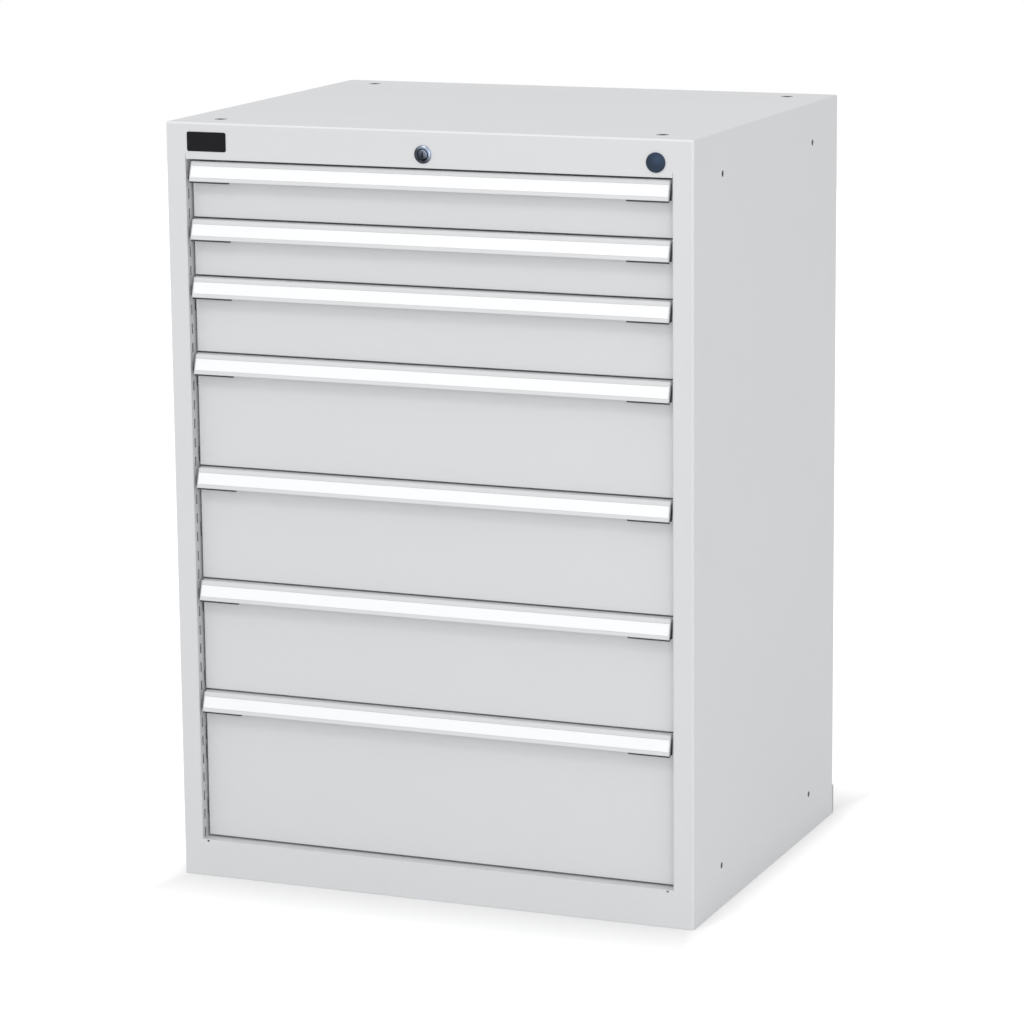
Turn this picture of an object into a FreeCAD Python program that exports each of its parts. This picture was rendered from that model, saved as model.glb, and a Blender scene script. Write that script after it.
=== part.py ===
import FreeCAD, Part
import math
import os
import Sketcher

# A steel drawer cabinet with seven full-width drawers of different heights.
# Frame: X to the right, Y to the back, Z up, origin under the middle of the whole object.
# Inside each body Y = 0 is the front plane of the carcass, and a drawer's Z = 0 is the floor of its row.

os.makedirs("parts", exist_ok=True)
doc = FreeCAD.newDocument("drawer_cabinet")
sheet = doc.addObject("Spreadsheet::Sheet", "Sizes")

driving = {
    # carcass
    "overall_width": 717,
    "carcass_depth": 572,
    "stile_width": 27,
    "top_rail": 47.2,
    "bottom_rail": 49.2,
    "carcass_sheet": 1.2,
    "bend_radius": 2.4,
    "stile_return": 24,
    "rail_lip": 20,
    "relief_width": 3.2,
    "relief_height": 2.4,
    "relief_inset": 8,
    "relief_drop": 2.2,
    "plinth_rise": 40,
    "plinth_proud": 4,
    # clear space over and under the drawers, one unit of height, and the units in each row from the top
    "top_gap": 2,
    "base_gap": 1.6,
    "height_unit": 25,
    "row_one": 3,
    "row_two": 3,
    "row_three": 4,
    "row_four": 6,
    "row_five": 6,
    "row_six": 6,
    "row_seven": 8,
    # slots in the inner return of the stiles, one for each unit of height
    "slot_start": 6,
    "slot_inset": 8,
    "slot_width": 4,
    "slot_length": 13,
    # longer slots nearer the runners, spaced in units, with two more near the foot
    "edge_slot_every": 4,
    "edge_slot_low": 1,
    "edge_slot_next": 5,
    "edge_slot_start": 14.5,
    "edge_slot_inset": 18.5,
    "edge_slot_width": 5,
    "edge_slot_length": 20,
    # holes in the side walls, for bolting cabinets together
    "side_hole_inset": 107,
    "side_hole_drop": 53,
    "side_hole_rise": 55,
    "side_hole_bore": 8.5,
    # uprights and telescopic runners
    "upright_sheet": 1.5,
    "upright_depth": 30,
    "upright_inset": 26,
    "runner_sheet": 1.5,
    "runner_height": 40,
    "runner_rise": 31,
    "runner_flange": 13,
    "runner_play": 0.3,
    "runner_edge_gap": 1,
    "runner_front_gap": 3,
    "runner_rear_gap": 36,
    "hook_width": 4,
    "hook_height": 11,
    "hook_tooth": 4,
    "hook_reach": 3,
    "hook_play": 0.5,
    # drawer tray
    "tray_sheet": 1,
    "tray_side_gap": 22.5,
    "tray_rear_gap": 26.6,
    "tray_rise": 8,
    "tray_drop": 14,
    "tray_hem": 8,
    "catch_rise": 44,
    "catch_width": 20,
    "catch_reach": 7,
    "catch_sheet": 1.5,
    "catch_lip": 5,
    # drawer front
    "front_recess": 15,
    "front_sheet": 1.2,
    "front_box": 15,
    "front_lip": 10,
    "front_bend": 1.1,
    "gap_above": 1.2,
    "gap_below": 0.9,
    "gap_beside": 2.5,
    # handle profile
    "handle_end_gap": 4.5,
    "handle_reach": 9.5,
    "handle_face": 26.6,
    "handle_lean": 17,
    "handle_wall": 2.6,
    "handle_flange": 1.6,
    "handle_web": 1.5,
    "handle_web_drop": 18,
    "handle_bend": 0.9,
    "label_rim": 6,
    "label_height": 15.2,
    "label_seat": 0.8,
    "label_sheet": 0.6,
    "label_play": 0.1,
    "cap_wall": 2,
    "cap_depth": 3,
    "cap_tongue": 54,
    "cap_tongue_rise": 2.2,
    # lock in the top rail
    "lock_drop": 30,
    "lock_flange_bore": 23,
    "lock_flange_rise": 2.5,
    "lock_rim_bevel": 0.8,
    "lock_shell_bore": 18,
    "lock_shell_length": 26,
    "lock_barrel_bore": 13,
    "lock_fit": 0.05,
    "lock_hole_play": 0.3,
    "key_slot_width": 1.8,
    "key_slot_height": 8,
    "key_slot_deep": 6,
    "nut_across": 24,
    "nut_wall": 5,
    "rod_bore": 8,
    # crank and locking bar behind the drawers
    "bar_gap": 10,
    "bar_sheet": 3,
    "bar_width": 36,
    "bar_head": 10,
    "bar_foot": 10,
    "crank_bore": 28,
    "crank_sheet": 3,
    "crank_gap": 2,
    "crank_throw": 10,
    "pin_bore": 6,
    "pin_play": 0.6,
    "pin_proud": 1,
    "finger_width": 12,
    "finger_sheet": 2,
    "finger_tooth": 6,
    "finger_gap": 1.5,
    "finger_clear": 0.6,
    "guide_wall": 1.5,
    "guide_play": 0.5,
    "guide_height": 14,
    "guide_drop": 13,
    # fittings on the top rail and the top
    "plug_bore": 25,
    "plug_rise": 3,
    "plug_rim_bevel": 1.8,
    "plug_edge_gap": 22,
    "plug_drop": 29,
    "plug_stem_width": 12.6,
    "plug_stem": 5,
    "badge_width": 55,
    "badge_height": 25,
    "badge_sheet": 0.8,
    "badge_edge_gap": 3,
    "badge_drop": 12,
    "badge_bend": 2.5,
    "bush_across": 15,
    "bush_thread_bore": 8.5,
    "bush_length": 14,
    "bush_side_inset": 56.5,
    "bush_end_inset": 45,
    "bush_play": 0.1,
}


class Size:
    # A length that knows both its value and the spreadsheet expression behind it.
    def __init__(self, text, value):
        self.text = text
        self.value = value

    def joined(self, sign, other, value):
        return Size("(" + self.text + " " + sign + " " + other.text + ")", value)

    def __add__(self, other):
        other = as_size(other)
        return self.joined("+", other, self.value + other.value)

    def __sub__(self, other):
        other = as_size(other)
        return self.joined("-", other, self.value - other.value)

    def __mul__(self, other):
        other = as_size(other)
        return self.joined("*", other, self.value * other.value)

    def __truediv__(self, other):
        other = as_size(other)
        return self.joined("/", other, self.value / other.value)

    def __neg__(self):
        return Size("(0 - " + self.text + ")", -self.value)

    def __radd__(self, other):
        return as_size(other) + self


def as_size(number):
    if isinstance(number, Size):
        return number
    return Size(repr(number), number)


def whole(size):
    return Size("floor(" + size.text + ")", math.floor(size.value))


def sine(angle):
    return Size("sin(" + angle.text + " * 1 deg)", math.sin(math.radians(angle.value)))


def cosine(angle):
    return Size("cos(" + angle.text + " * 1 deg)", math.cos(math.radians(angle.value)))


def larger(one, other):
    return Size("max(" + one.text + "; " + other.text + ")", max(one.value, other.value))


class Sizes:
    pass


s = Sizes()
for row, (alias, number) in enumerate(driving.items(), start=1):
    sheet.set("A" + str(row), alias)
    sheet.set("B" + str(row), str(number))
    sheet.setAlias("B" + str(row), alias)
    setattr(s, alias, Size("Sizes." + alias, number))
doc.recompute()

zero = as_size(0)
nodes = []


# ---- drawing and building helpers ----

def new_body(name):
    return doc.addObject("PartDesign::Body", name)


def new_sketch(body, role, at=zero):
    # A sketch on one of the body's own planes, moved along the plane's normal.
    plane = [each for each in body.Origin.OriginFeatures if each.Role == role][0]
    sketch = body.newObject("Sketcher::SketchObject", body.Name + "_sketch")
    sketch.AttachmentSupport = [(plane, "")]
    sketch.MapMode = "FlatFace"
    sketch.setExpression("AttachmentOffset.Base.z", at.text)
    return sketch


def tie_point(sketch, index, place, across, up):
    for kind, size in (("DistanceX", across), ("DistanceY", up)):
        number = sketch.addConstraint(Sketcher.Constraint(kind, -1, 1, index, place, size.value))
        sketch.setExpression("Constraints[" + str(number) + "]", size.text)


def outline(sketch, points):
    # A closed outline of straight edges, each corner tied to the sizes.
    points = [(as_size(across), as_size(up)) for across, up in points]
    first = sketch.GeometryCount
    count = len(points)
    for number in range(count):
        start = points[number]
        end = points[(number + 1) % count]
        line = Part.LineSegment(
            FreeCAD.Vector(start[0].value, start[1].value, 0),
            FreeCAD.Vector(end[0].value, end[1].value, 0),
        )
        sketch.addGeometry(line, False)
    for number in range(count):
        following = first + (number + 1) % count
        sketch.addConstraint(Sketcher.Constraint("Coincident", first + number, 2, following, 1))
    for number, (across, up) in enumerate(points):
        tie_point(sketch, first + number, 1, across, up)


def oblong(sketch, left, right, low, high):
    outline(sketch, [(left, low), (right, low), (right, high), (left, high)])


def ring(sketch, across, up, bore):
    # A circle of the given bore about a tied centre.
    across = as_size(across)
    up = as_size(up)
    circle = Part.Circle(FreeCAD.Vector(across.value, up.value, 0), FreeCAD.Vector(0, 0, 1), bore.value / 2)
    index = sketch.addGeometry(circle, False)
    tie_point(sketch, index, 3, across, up)
    number = sketch.addConstraint(Sketcher.Constraint("Radius", index, bore.value / 2))
    sketch.setExpression("Constraints[" + str(number) + "]", (bore / 2).text)


def hexagon(sketch, across, up, flats):
    # A hexagon with two level sides, measured across its flats.
    across = as_size(across)
    up = as_size(up)
    corner = flats / math.sqrt(3)
    outline(sketch, [
        (across + corner, up),
        (across + corner / 2, up + flats / 2),
        (across - corner / 2, up + flats / 2),
        (across - corner, up),
        (across - corner / 2, up - flats / 2),
        (across + corner / 2, up - flats / 2),
    ])


def pad(body, sketch, length, back=False, middle=False):
    feature = body.newObject("PartDesign::Pad", body.Name + "_pad")
    feature.Profile = sketch
    feature.setExpression("Length", length.text)
    feature.Reversed = back
    feature.Midplane = middle
    doc.recompute()
    return feature


def cut(body, sketch, length, back=False):
    # A pocket that has to take something away.
    before = body.Shape.Volume
    feature = body.newObject("PartDesign::Pocket", body.Name + "_cut")
    feature.Profile = sketch
    feature.setExpression("Length", length.text)
    feature.Reversed = back
    doc.recompute()
    if not body.Shape.Volume < before - 0.01:
        raise RuntimeError(body.Name + ": a pocket takes nothing away")
    return feature


def repeat_up(body, feature, pitch, count):
    pattern = body.newObject("PartDesign::LinearPattern", body.Name + "_row")
    pattern.Originals = [feature]
    upward = [each for each in body.Origin.OriginFeatures if each.Role == "Z_Axis"][0]
    pattern.Direction = (upward, [""])
    pattern.Mode = "Spacing"
    pattern.setExpression("Offset", pitch.text)
    pattern.setExpression("Occurrences", count.text)
    body.Tip = pattern
    doc.recompute()
    return pattern


def straight_edges(shape, along, at):
    # Names of the straight edges that run along one axis through the given coordinates.
    names = []
    for number, edge in enumerate(shape.Edges, start=1):
        if not isinstance(edge.Curve, Part.Line):
            continue
        step = edge.Vertexes[-1].Point - edge.Vertexes[0].Point
        if abs(abs(getattr(step, along)) - step.Length) > 0.001:
            continue
        middle = edge.CenterOfMass
        if all(abs(getattr(middle, axis) - size.value) < 0.01 for axis, size in at.items()):
            names.append("Edge" + str(number))
    return names


def bend(body, radius, places):
    # Rounds the straight edges found at each place, a pair of an axis and its coordinates.
    base = body.Tip
    names = []
    for along, at in places:
        names += straight_edges(body.Shape, along, at)
    feature = body.newObject("PartDesign::Fillet", body.Name + "_bend")
    feature.Base = (base, names)
    feature.setExpression("Radius", radius.text)
    doc.recompute()
    return feature


def bevel_rim(body, size, bore, at):
    # Bevels the circular edge of one bore that lies at one distance along Y.
    base = body.Tip
    names = []
    for number, edge in enumerate(body.Shape.Edges, start=1):
        if not isinstance(edge.Curve, Part.Circle):
            continue
        if abs(edge.Curve.Radius - bore.value / 2) < 0.01 and abs(edge.Curve.Center.y - at.value) < 0.01:
            names.append("Edge" + str(number))
    feature = body.newObject("PartDesign::Chamfer", body.Name + "_rim")
    feature.Base = (base, names)
    feature.setExpression("Size", size.text)
    doc.recompute()


def place(item, label, x=zero, y=None, z=zero):
    # Names a finished sub-part and puts it in the cabinet.
    item.Label = label
    item.setExpression("Placement.Base.x", as_size(x).text)
    item.setExpression("Placement.Base.y", (front_plane if y is None else y).text)
    item.setExpression("Placement.Base.z", as_size(z).text)
    nodes.append(item)


def mirrored(source):
    copy = doc.addObject("Part::Mirroring", source.Name + "_mirrored")
    copy.Source = source
    copy.Normal = FreeCAD.Vector(1, 0, 0)
    return copy


def group(name, members):
    compound = doc.addObject("Part::Compound", name)
    compound.Links = members
    return compound


# ---- lines that several sub-parts share ----

half_width = s.overall_width / 2
opening_half = half_width - s.stile_width
side_inner = half_width - s.carcass_sheet
handle_tip = s.handle_reach + s.handle_face * sine(s.handle_lean)
handle_proud = handle_tip - s.front_recess
front_plane = (larger(handle_proud, s.plug_rise) - s.carcass_depth - s.plinth_proud) / 2
row_units = [s.row_one, s.row_two, s.row_three, s.row_four, s.row_five, s.row_six, s.row_seven]
rows = [s.height_unit * units for units in row_units]
rows_base = s.bottom_rail + s.base_gap
rows_top = rows_base + sum(rows, zero)
opening_top = rows_top + s.top_gap
opening_height = opening_top - s.bottom_rail
overall_height = opening_top + s.top_rail
row_floors = [rows_top - sum(rows[: number + 1], zero) for number in range(len(rows))]
back_plane = s.carcass_depth
back_inner = back_plane - s.carcass_sheet * 2
tray_front = s.front_recess + s.front_box
tray_rear = back_inner - s.tray_rear_gap
tray_half = opening_half - s.tray_side_gap
runner_start = tray_front + s.runner_front_gap
runner_length = s.carcass_depth - s.runner_rear_gap - runner_start
middle_outer = opening_half - s.runner_edge_gap
upright_inner = middle_outer + s.runner_play + s.runner_sheet
upright_starts = [s.upright_inset, s.carcass_depth - s.upright_inset - s.upright_depth]
hook_low = s.runner_rise - s.hook_height / 2
lock_height = overall_height - s.lock_drop
bar_front = tray_rear + s.bar_gap
bar_back = bar_front + s.bar_sheet
throw_angle = Size("45", 45)
pin_swing = s.crank_throw * sine(throw_angle)
bar_travel = pin_swing * 2


# ---- carcass ----

def side_panel():
    # Right side wall with its front stile, top and rear flanges, folded from one sheet.
    body = new_body("side_panel")
    flat = new_sketch(body, "XY_Plane")
    oblong(flat, opening_half, half_width, zero, s.carcass_depth)
    pad(body, flat, overall_height)
    bend(body, s.bend_radius, [
        ("z", {"x": half_width, "y": zero}),
        ("z", {"x": half_width, "y": s.carcass_depth}),
        ("y", {"x": half_width, "z": overall_height}),
        ("x", {"y": zero, "z": overall_height}),
        ("x", {"y": s.carcass_depth, "z": overall_height}),
    ])
    hollow = new_sketch(body, "YZ_Plane", opening_half)
    oblong(hollow, s.carcass_sheet, s.carcass_depth - s.carcass_sheet, zero, overall_height - s.carcass_sheet)
    cut(body, hollow, s.stile_width - s.carcass_sheet, back=True)
    fold = new_sketch(body, "XY_Plane", s.bottom_rail)
    oblong(fold, opening_half, opening_half + s.carcass_sheet, s.carcass_sheet / 2, s.stile_return)
    pad(body, fold, opening_height)
    edge_pitch = s.height_unit * s.edge_slot_every
    edge_start = s.edge_slot_start + edge_pitch
    slot_rows = [
        (s.slot_inset, s.slot_width, s.slot_length, s.slot_start, s.height_unit),
        (s.edge_slot_inset, s.edge_slot_width, s.edge_slot_length, edge_start, edge_pitch),
    ]
    for inset, wide, long, start, pitch in slot_rows:
        slot = new_sketch(body, "YZ_Plane", opening_half - 1)
        low = rows_base + start - long / 2
        oblong(slot, inset - wide / 2, inset + wide / 2, low, low + long)
        first = cut(body, slot, s.carcass_sheet + 2, back=True)
        repeat_up(body, first, pitch, whole((opening_height - start) / pitch) + 1)
    singles = new_sketch(body, "YZ_Plane", opening_half - 1)
    for units in (s.edge_slot_low, s.edge_slot_next):
        low = rows_base + s.edge_slot_start + s.height_unit * units - s.edge_slot_length / 2
        near = s.edge_slot_inset - s.edge_slot_width / 2
        oblong(singles, near, near + s.edge_slot_width, low, low + s.edge_slot_length)
    cut(body, singles, s.carcass_sheet + 2, back=True)
    holes = new_sketch(body, "YZ_Plane", side_inner - 1)
    for along in (s.side_hole_inset, s.carcass_depth - s.side_hole_inset):
        for up in (s.side_hole_rise, overall_height - s.side_hole_drop):
            ring(holes, along, up, s.side_hole_bore)
    cut(body, holes, s.carcass_sheet + 2, back=True)
    place(body, "side_panel_right")
    other = mirrored(body)
    other.Label = "side_panel_left"
    nodes.append(other)


def tray_fold(body, low, high, open_low):
    # A shallow folded box between the side panels: a flat sheet with a front rail and a rear wall.
    flat = new_sketch(body, "XY_Plane", low)
    oblong(flat, -opening_half, opening_half, zero, s.carcass_depth)
    pad(body, flat, high - low)
    if open_low:
        bend(body, s.bend_radius, [
            ("x", {"y": zero, "z": high}),
            ("x", {"y": s.carcass_depth, "z": high}),
        ])
    hollow = new_sketch(body, "XY_Plane", low)
    oblong(hollow, -opening_half, opening_half, s.carcass_sheet, s.carcass_depth - s.carcass_sheet)
    cut(body, hollow, high - low - s.carcass_sheet, back=True)
    lip = new_sketch(body, "XY_Plane", low)
    oblong(lip, -opening_half, opening_half, s.carcass_sheet / 2, s.rail_lip)
    pad(body, lip, s.carcass_sheet)


def top_panel():
    body = new_body("top_panel")
    tray_fold(body, opening_top, overall_height, True)
    holes = new_sketch(body, "XZ_Plane", as_size(1))
    ring(holes, zero, lock_height, s.lock_shell_bore + s.lock_hole_play * 2)
    plug_across = opening_half - s.plug_edge_gap
    ring(holes, plug_across, overall_height - s.plug_drop, s.lock_shell_bore + s.lock_hole_play * 2)
    cut(body, holes, s.carcass_sheet + 2)
    seats = new_sketch(body, "XY_Plane", overall_height + 1)
    for across in (-(half_width - s.bush_side_inset), half_width - s.bush_side_inset):
        for along in (s.bush_end_inset, s.carcass_depth - s.bush_end_inset):
            hexagon(seats, across, along, s.bush_across + s.bush_play * 2)
    cut(body, seats, s.carcass_sheet + 2)
    place(body, "top_panel")


def base_panel():
    body = new_body("base_panel")
    tray_fold(body, zero, s.bottom_rail, False)
    floor = new_sketch(body, "XY_Plane", s.bottom_rail - s.carcass_sheet)
    oblong(floor, -side_inner, side_inner, s.carcass_sheet, s.carcass_depth - s.carcass_sheet)
    pad(body, floor, s.carcass_sheet)
    foot = new_sketch(body, "XY_Plane")
    rear = s.carcass_depth - s.carcass_sheet / 2
    oblong(foot, -opening_half, opening_half, s.carcass_depth - s.rail_lip, rear)
    pad(body, foot, s.carcass_sheet)
    reliefs = new_sketch(body, "XZ_Plane", as_size(1))
    for across in (s.relief_inset - opening_half, opening_half - s.relief_inset):
        low = s.bottom_rail - s.relief_drop - s.relief_height / 2
        left = across - s.relief_width / 2
        oblong(reliefs, left, left + s.relief_width, low, low + s.relief_height)
    cut(body, reliefs, s.carcass_sheet * 1.5 + 1)
    place(body, "base_panel")


def back_panel():
    body = new_body("back_panel")
    flat = new_sketch(body, "XZ_Plane", -back_inner)
    oblong(flat, -side_inner, side_inner, s.bottom_rail, overall_height - s.carcass_sheet)
    pad(body, flat, s.carcass_sheet, back=True)
    place(body, "back_panel")


def rear_plinth():
    # Shallow channel across the foot of the back.
    body = new_body("rear_plinth")
    section = new_sketch(body, "YZ_Plane")
    outer = back_plane + s.plinth_proud
    inner = outer - s.carcass_sheet
    outline(section, [
        (back_plane, zero),
        (outer, zero),
        (outer, s.plinth_rise),
        (back_plane, s.plinth_rise),
        (back_plane, s.plinth_rise - s.carcass_sheet),
        (inner, s.plinth_rise - s.carcass_sheet),
        (inner, s.carcass_sheet),
        (back_plane, s.carcass_sheet),
    ])
    pad(body, section, s.overall_width, middle=True)
    place(body, "rear_plinth")


def uprights(label, start):
    # Channel with a slot for the hook of each runner; the pair shares one node.
    body = new_body("upright")
    wall = s.upright_sheet
    end = start + s.upright_depth
    section = new_sketch(body, "XY_Plane", s.bottom_rail)
    outline(section, [
        (upright_inner, start),
        (side_inner, start),
        (side_inner, start + wall),
        (upright_inner + wall, start + wall),
        (upright_inner + wall, end - wall),
        (side_inner, end - wall),
        (side_inner, end),
        (upright_inner, end),
    ])
    pad(body, section, opening_height + s.top_rail - s.carcass_sheet)
    slots = new_sketch(body, "YZ_Plane", upright_inner - 1)
    middle = start + s.upright_depth / 2
    reach = s.hook_width / 2 + s.hook_play
    for floor in row_floors:
        low = floor + hook_low
        oblong(slots, middle - reach, middle + reach, low, low + s.hook_height + s.hook_tooth + s.hook_play)
    cut(body, slots, wall + 2, back=True)
    pair = group(label, [body, mirrored(body)])
    place(pair, label)


def channel(body, web_outer, web_inner, tip, half_height):
    # Section of a right-hand C channel, its web between web_outer and web_inner.
    section = new_sketch(body, "XZ_Plane", -runner_start)
    draw_channel(section, web_outer, web_inner, tip, half_height)
    return section


def draw_channel(section, web_outer, web_inner, tip, half_height):
    low = s.runner_rise - half_height
    high = s.runner_rise + half_height
    outline(section, [
        (web_outer, low),
        (tip, low),
        (tip, low + s.runner_sheet),
        (web_inner, low + s.runner_sheet),
        (web_inner, high - s.runner_sheet),
        (tip, high - s.runner_sheet),
        (tip, high),
        (web_outer, high),
    ])


def cabinet_runners():
    # Fixed outer members, each with two hooks that drop into the uprights.
    members = []
    for floor in row_floors:
        body = new_body("cabinet_runner")
        web_inner = upright_inner - s.runner_sheet
        section = channel(body, upright_inner, web_inner, upright_inner - s.runner_flange, s.runner_height / 2)
        pad(body, section, runner_length, back=True)
        behind = upright_inner + s.upright_sheet + s.runner_play
        tip = behind + s.hook_reach
        for start in upright_starts:
            hook = new_sketch(body, "XZ_Plane", -(start + s.upright_depth / 2))
            outline(hook, [
                (web_inner, hook_low),
                (behind, hook_low),
                (behind, hook_low - s.hook_tooth),
                (tip, hook_low - s.hook_tooth),
                (tip, hook_low + s.hook_height),
                (web_inner, hook_low + s.hook_height),
            ])
            pad(body, hook, s.hook_width, middle=True)
        body.setExpression("Placement.Base.z", floor.text)
        members += [body, mirrored(body)]
    place(group("cabinet_runners", members), "cabinet_runners")


# ---- drawers ----

def middle_runners(number, floor):
    body = new_body("middle_runner")
    half = s.runner_height / 2 - s.runner_sheet - s.runner_play
    section = channel(body, middle_outer, middle_outer - s.runner_sheet, middle_outer - s.runner_flange, half)
    pad(body, section, runner_length, back=True)
    place(group("middle_runners", [body, mirrored(body)]), "middle_runners_" + number, z=floor)


def drawer_tray(number, row, floor):
    # Folded tray with hemmed sides and the inner runner members on them; its catch is a solid of its own.
    body = new_body("drawer_tray")
    top = row - s.tray_drop
    wall = s.tray_sheet
    blank = new_sketch(body, "XY_Plane", s.tray_rise)
    oblong(blank, -tray_half, tray_half, tray_front, tray_rear)
    pad(body, blank, top - s.tray_rise)
    mouth = new_sketch(body, "XY_Plane", top)
    oblong(mouth, s.tray_hem - tray_half, tray_half - s.tray_hem, tray_front + wall, tray_rear - wall)
    cut(body, mouth, top - s.tray_rise - wall)
    hollow = new_sketch(body, "XY_Plane", top - wall)
    oblong(hollow, wall - tray_half, tray_half - wall, tray_front + wall, tray_rear - wall)
    cut(body, hollow, top - s.tray_rise - wall * 2)
    half = s.runner_height / 2 - (s.runner_sheet + s.runner_play) * 2
    tip = middle_outer - s.runner_sheet - s.runner_play
    members = new_sketch(body, "XZ_Plane", -runner_start)
    draw_channel(members, tray_half, tray_half + s.runner_sheet, tip, half)
    draw_channel(members, -tray_half, -(tray_half + s.runner_sheet), -tip, half)
    pad(body, members, runner_length, back=True)
    place(group("drawer_tray", [body, rear_catch()]), "drawer_tray_" + number, z=floor)


def rear_catch():
    # Hooked plate welded to the back of a tray.
    body = new_body("rear_catch")
    hook = new_sketch(body, "YZ_Plane")
    end = tray_rear + s.catch_reach
    outline(hook, [
        (tray_rear, s.catch_rise),
        (end - s.catch_sheet, s.catch_rise),
        (end - s.catch_sheet, s.catch_rise - s.catch_lip),
        (end, s.catch_rise - s.catch_lip),
        (end, s.catch_rise + s.catch_sheet),
        (tray_rear, s.catch_rise + s.catch_sheet),
    ])
    pad(body, hook, s.catch_width, middle=True)
    return body


def drawer_front(number, row, floor):
    # Pan-shaped front with returned edges and a lip that the tray stands against.
    body = new_body("drawer_front")
    half = opening_half - s.gap_beside
    low = s.gap_below
    high = row - s.gap_above
    face = new_sketch(body, "XZ_Plane", -s.front_recess)
    oblong(face, -half, half, low, high)
    pad(body, face, s.front_box, back=True)
    bend(body, s.front_bend, [
        ("z", {"x": half, "y": s.front_recess}),
        ("z", {"x": -half, "y": s.front_recess}),
        ("x", {"y": s.front_recess, "z": low}),
        ("x", {"y": s.front_recess, "z": high}),
    ])
    depths = [
        (tray_front, s.front_lip, s.front_box - s.front_sheet),
        (tray_front - s.front_sheet, s.front_sheet, s.front_box - s.front_sheet * 2),
    ]
    for start, inset, deep in depths:
        hollow = new_sketch(body, "XZ_Plane", -start)
        oblong(hollow, inset - half, half - inset, low + inset, high - inset)
        cut(body, hollow, deep, back=True)
    place(body, "drawer_front_" + number, z=floor)


def face_point(row, along, deep):
    # A point of the leaning handle face: a distance down it and a depth behind it.
    across = s.front_recess - s.handle_reach - along * sine(s.handle_lean) + deep * cosine(s.handle_lean)
    up = row - s.gap_above - along * cosine(s.handle_lean) - deep * sine(s.handle_lean)
    return across, up


def handle(number, row, floor):
    # Full-width profile: rear web, top flange and a leaning face with a seat for the label strip.
    body = new_body("handle")
    top = row - s.gap_above
    wall = s.handle_wall
    tip = face_point(row, s.handle_face, zero)
    lean = s.handle_lean
    under = s.front_recess - s.handle_reach + wall / cosine(lean) - s.handle_flange * sine(lean) / cosine(lean)
    section = new_sketch(body, "YZ_Plane")
    outline(section, [
        (s.front_recess, top),
        face_point(row, zero, zero),
        face_point(row, s.label_rim, zero),
        face_point(row, s.label_rim, s.label_seat),
        face_point(row, s.label_rim + s.label_height, s.label_seat),
        face_point(row, s.label_rim + s.label_height, zero),
        tip,
        (tip[0] + wall / cosine(lean), tip[1]),
        (under, top - s.handle_flange),
        (s.front_recess - s.handle_web, top - s.handle_flange),
        (s.front_recess - s.handle_web, top - s.handle_web_drop),
        (s.front_recess, top - s.handle_web_drop),
    ])
    half = opening_half - s.handle_end_gap - s.cap_wall
    pad(body, section, half * 2, middle=True)
    bend(body, s.handle_bend, [
        ("x", {"y": s.front_recess - s.handle_reach, "z": top}),
        ("x", {"y": tip[0], "z": tip[1]}),
    ])
    place(body, "handle_" + number, z=floor)


def label_strip(number, row, floor):
    body = new_body("label_strip")
    section = new_sketch(body, "YZ_Plane")
    first = s.label_rim + s.label_play
    last = s.label_rim + s.label_height - s.label_play
    proud = s.label_seat - s.label_sheet
    outline(section, [
        face_point(row, first, proud),
        face_point(row, last, proud),
        face_point(row, last, s.label_seat),
        face_point(row, first, s.label_seat),
    ])
    half = opening_half - s.handle_end_gap - s.cap_wall
    pad(body, section, half * 2, middle=True)
    place(body, "label_strip_" + number, z=floor)


def handle_end_caps(number, row, floor):
    # Plate that closes the end of the profile, with a tongue under the lip.
    body = new_body("handle_end_cap")
    outer = opening_half - s.handle_end_gap
    top = row - s.gap_above
    tip = face_point(row, s.handle_face, zero)
    rear = s.front_recess - s.handle_reach + s.cap_depth
    plate = new_sketch(body, "YZ_Plane", outer - s.cap_wall)
    outline(plate, [
        (rear, top),
        face_point(row, zero, zero),
        tip,
        (tip[0], tip[1] - s.cap_tongue_rise),
        (rear, tip[1] - s.cap_tongue_rise),
    ])
    pad(body, plate, s.cap_wall)
    tongue = new_sketch(body, "YZ_Plane", outer - s.cap_wall - s.cap_tongue)
    deep = s.handle_wall / cosine(s.handle_lean)
    oblong(tongue, tip[0] + s.handle_bend, tip[0] + deep, tip[1] - s.cap_tongue_rise, tip[1])
    pad(body, tongue, s.cap_tongue + s.cap_wall / 2)
    place(group("handle_end_caps", [body, mirrored(body)]), "handle_end_caps_" + number, z=floor)


# ---- lock and locking bar ----

def round_stack(body, steps):
    # Coaxial discs along Y, each from one distance to another with its own bore.
    for start, end, bore in steps:
        disc = new_sketch(body, "XZ_Plane", -start)
        ring(disc, zero, zero, bore)
        pad(body, disc, end - start, back=True)


def lock_housing():
    body = new_body("lock_housing")
    round_stack(body, [
        (-s.lock_flange_rise, zero, s.lock_flange_bore),
        (zero, s.lock_shell_length, s.lock_shell_bore),
    ])
    hole = new_sketch(body, "XZ_Plane", s.lock_flange_rise + 1)
    ring(hole, zero, zero, s.lock_barrel_bore)
    cut(body, hole, s.lock_flange_rise + s.lock_shell_length + 2)
    bevel_rim(body, s.lock_rim_bevel, s.lock_flange_bore, -s.lock_flange_rise)
    place(body, "lock_housing", z=lock_height)


def lock_barrel():
    body = new_body("lock_barrel")
    face = -s.lock_flange_rise + s.lock_hole_play
    round_stack(body, [(face, s.lock_shell_length, s.lock_barrel_bore - s.lock_fit * 2)])
    slot = new_sketch(body, "XZ_Plane", -face)
    oblong(slot, -s.key_slot_width / 2, s.key_slot_width / 2, -s.key_slot_height / 2, s.key_slot_height / 2)
    cut(body, slot, s.key_slot_deep)
    place(body, "lock_barrel", z=lock_height)


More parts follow.
